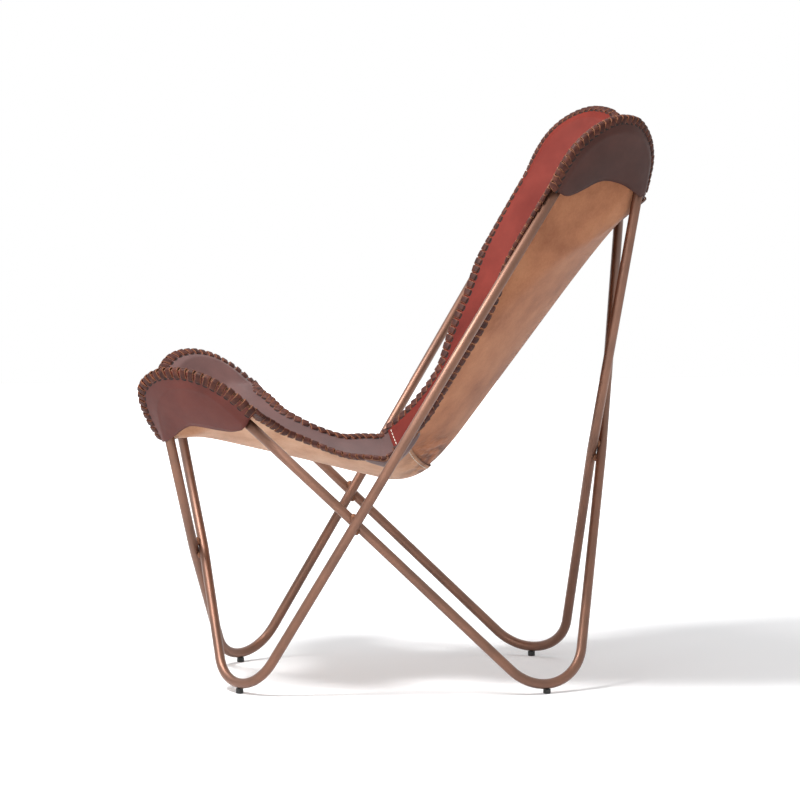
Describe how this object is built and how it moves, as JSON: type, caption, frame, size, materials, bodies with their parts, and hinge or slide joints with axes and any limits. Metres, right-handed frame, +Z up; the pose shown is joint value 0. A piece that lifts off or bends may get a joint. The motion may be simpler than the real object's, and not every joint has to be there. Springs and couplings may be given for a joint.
{
  "type": "butterfly sling chair",
  "caption": "Lounge chair with a laced leather sling hung by pockets from the four ears of a crossed, bent tube frame.",
  "frame": {"origin": "on the floor, under the middle of the chair's overall extents", "axes": "+Z up, -Y the way the sitter faces, +X the sitter's left"},
  "size_m": [0.7244, 0.827, 0.9281],
  "materials": {
    "lacquered_tube": "copper-brown lacquer, satin",
    "inner_steel": "plain steel",
    "glide_rubber": "matt black",
    "seat_leather": "dark brown grain outside, tan suede underneath",
    "back_leather": "red-brown grain inside, tan suede outside",
    "pocket_leather": "dark brown grain",
    "lace_leather": "dark brown strips",
    "thread": "off-white thread"
  },
  "bodies": {
    "root": {"foot_tube_front_left": "lacquered_tube", "glide_front_left": "glide_rubber", "foot_tube_front_right": "lacquered_tube", "glide_front_right": "glide_rubber", "foot_tube_rear_left": "lacquered_tube", "glide_rear_left": "glide_rubber", "foot_tube_rear_right": "lacquered_tube", "glide_rear_right": "glide_rubber", "ear_tube_front_left": "lacquered_tube", "spigot_front_left_side": "inner_steel", "spigot_front_left_cross": "inner_steel", "ear_tube_front_right": "lacquered_tube", "spigot_front_right_side": "inner_steel", "spigot_front_right_cross": "inner_steel", "ear_tube_rear_left": "lacquered_tube", "spigot_rear_left_side": "inner_steel", "spigot_rear_left_cross": "inner_steel", "ear_tube_rear_right": "lacquered_tube", "spigot_rear_right_side": "inner_steel", "spigot_rear_right_cross": "inner_steel", "weld_front_upper": "lacquered_tube", "weld_front_lower": "lacquered_tube", "weld_rear_upper": "lacquered_tube", "weld_rear_lower": "lacquered_tube", "weld_left_upper": "lacquered_tube", "weld_left_lower": "lacquered_tube", "weld_right_upper": "lacquered_tube", "weld_right_lower": "lacquered_tube", "seat_panel": "seat_leather", "back_panel": "back_leather", "pocket_front_right": "pocket_leather", "pocket_front_left": "pocket_leather", "lacing_front_rim_right": "lace_leather", "lacing_front_rim_left": "lace_leather", "lacing_front_free_edge": "lace_leather", "lacing_seat_side_right": "lace_leather", "lacing_seat_side_left": "lace_leather", "pocket_rear_right": "pocket_leather", "pocket_rear_left": "pocket_leather", "lacing_rear_rim_right": "lace_leather", "lacing_rear_rim_left": "lace_leather", "lacing_rear_free_edge": "lace_leather", "lacing_back_side_right": "lace_leather", "lacing_back_side_left": "lace_leather", "bend_patch_right": "pocket_leather", "bend_patch_left": "pocket_leather", "seam_stitching_inside": "thread", "seam_stitching_outside": "thread"}
  },
  "joints": []
}
